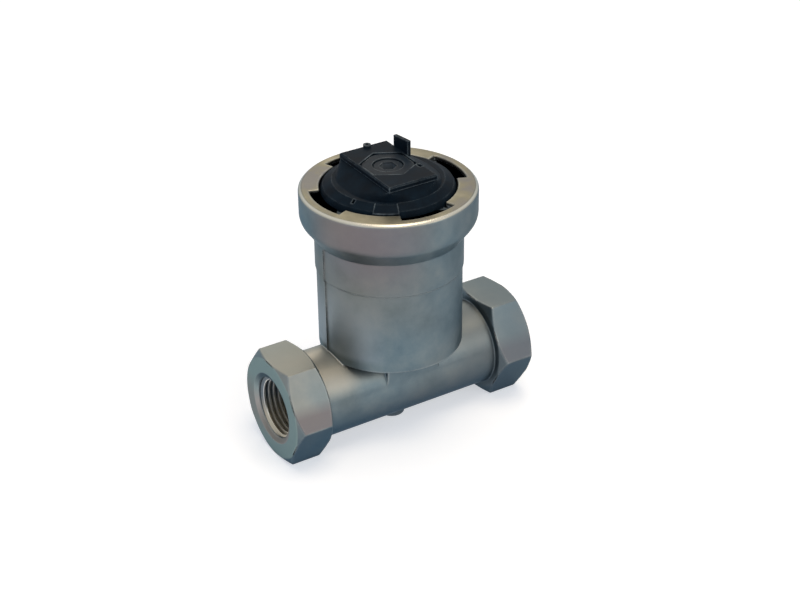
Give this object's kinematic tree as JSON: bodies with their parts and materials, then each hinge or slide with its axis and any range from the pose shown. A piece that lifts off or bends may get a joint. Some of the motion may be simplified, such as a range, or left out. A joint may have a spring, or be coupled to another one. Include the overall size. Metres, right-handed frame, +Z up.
{
  "type": "pressure regulator",
  "caption": "In-line pressure regulator with threaded ports, a tall round chamber and a bayonet bonnet over a spring-loaded diaphragm valve.",
  "frame": {"origin": "bottom centre of the bounding box: on the surface under the two hexagon ends, below the valve axis", "axes": "+X along the pipe out of the outlet port, +Z up along the valve axis through the bonnet"},
  "size_m": [0.093, 0.0584, 0.0996],
  "materials": {
    "plated_body": "satin nickel plate over forged brass",
    "white_resin": "moulded acetal",
    "black_rubber": "moulded nitrile rubber",
    "steel_sheet": "pressed stainless steel",
    "spring_steel": "drawn spring wire",
    "turned_steel": "turned stainless steel",
    "turned_brass": "turned brass",
    "blackened_steel": "black oxide",
    "black_plastic": "moulded glass-filled nylon"
  },
  "bodies": {
    "housing": {"body": "plated_body", "seat_cage": "white_resin", "cage_o_ring": "black_rubber", "strainer": "steel_sheet", "stem_guide": "white_resin", "guide_circlip": "spring_steel", "diaphragm": "black_rubber", "return_spring": "spring_steel"},
    "valve": {"valve_stem": "turned_steel", "valve_holder": "turned_brass", "valve_seal": "black_rubber", "diaphragm_washer": "turned_brass", "diaphragm_plate": "steel_sheet", "stem_nut": "turned_brass"},
    "slip_ring": {"slip_ring": "steel_sheet", "setting_spring": "spring_steel"},
    "bonnet": {"bonnet": "black_plastic", "bonnet_o_ring": "black_rubber", "screw_bush": "blackened_steel"},
    "spring_cup": {"spring_cup": "steel_sheet"},
    "adjusting_screw": {"adjusting_screw": "blackened_steel"}
  },
  "joints": [
    {"name": "bonnet_lift", "type": "slide", "parent": "housing", "child": "slip_ring", "axis": [0, 0, 1], "range_m": [0, 0.04]},
    {"name": "bonnet_turn", "type": "hinge", "parent": "slip_ring", "child": "bonnet", "pos_m": [0, 0, 0.08], "axis": [0, 0, -1], "range_deg": [0, 45]},
    {"name": "cup_travel", "type": "slide", "parent": "bonnet", "child": "spring_cup", "axis": [0, 0, -1], "range_m": [0, 0.006], "deforming": ["setting_spring"]},
    {"name": "screw_turn", "type": "hinge", "parent": "spring_cup", "child": "adjusting_screw", "pos_m": [0, 0, 0.08], "axis": [0, 0, -1], "range_deg": [0, 1440]},
    {"name": "valve_travel", "type": "slide", "parent": "housing", "child": "valve", "axis": [0, 0, -1], "range_m": [0, 0.002], "stiffness_N_per_m": 1000, "springref_m": -0.002, "deforming": ["diaphragm", "return_spring"]}
  ],
  "couplings": [
    {"joint": "cup_travel", "follows": "screw_turn", "m_per_rad": 0.00023873}
  ]
}
